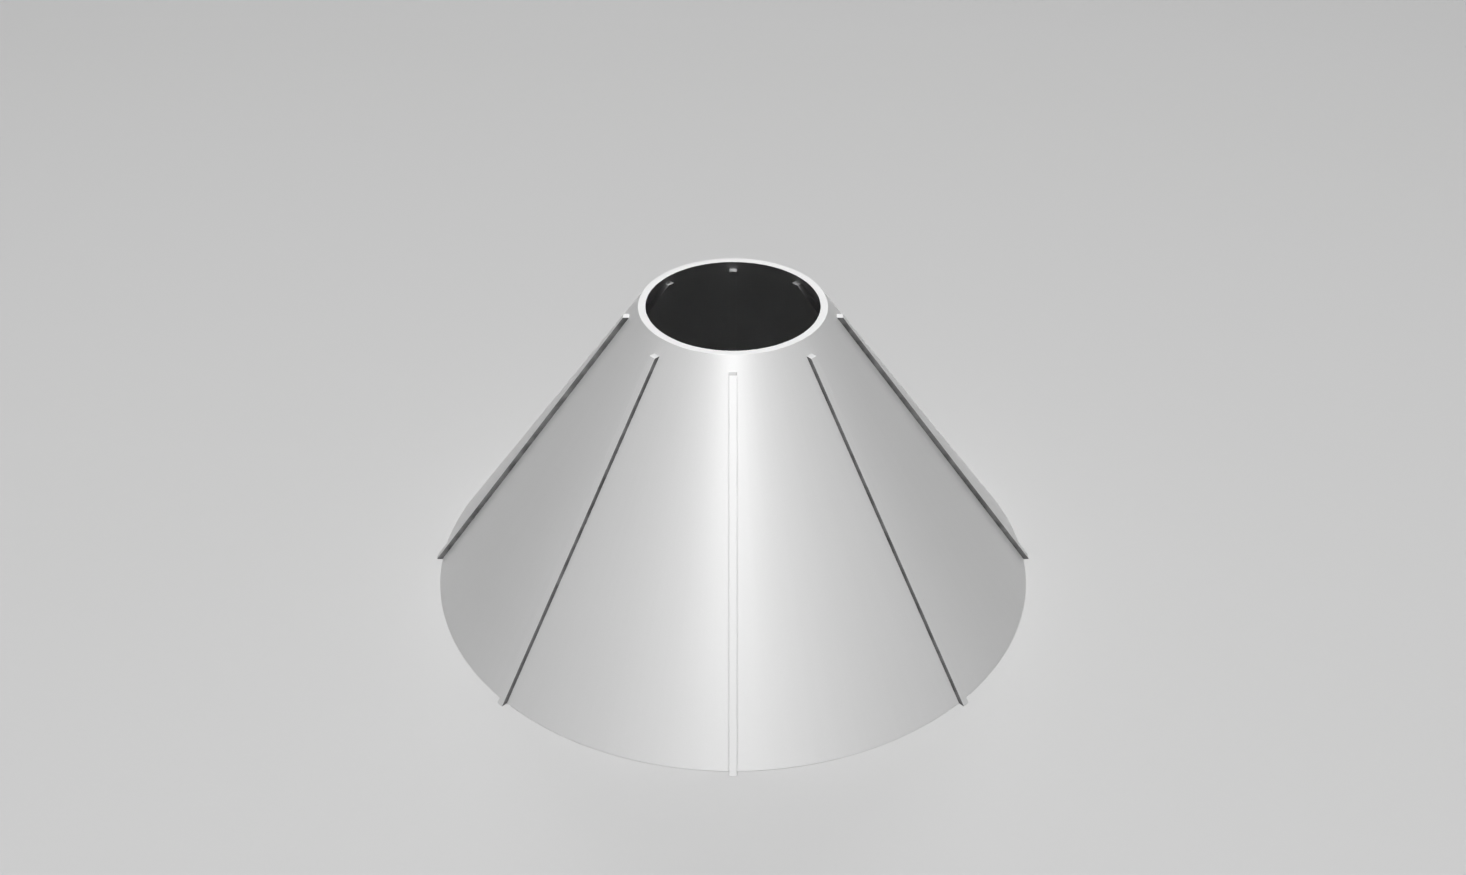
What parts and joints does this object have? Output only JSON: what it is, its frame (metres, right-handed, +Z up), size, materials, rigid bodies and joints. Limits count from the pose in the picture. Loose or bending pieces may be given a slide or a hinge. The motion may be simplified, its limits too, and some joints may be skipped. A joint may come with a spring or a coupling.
{
  "type": "lampshade",
  "caption": "Conical lampshade with an open narrow top rim and straight ribs that run up both faces of its thin wall.",
  "frame": {"origin": "centre of the circle that the wide bottom rim stands on", "axes": "+Z up the cone's axis, from the wide bottom rim to the narrow top rim; ribs lie on +X, -X, +Y and -Y and midway between them"},
  "size_m": [0.1732, 0.1732, 0.0855],
  "materials": {
    "shade": "satin"
  },
  "bodies": {
    "root": {"shade": "shade"}
  },
  "joints": []
}
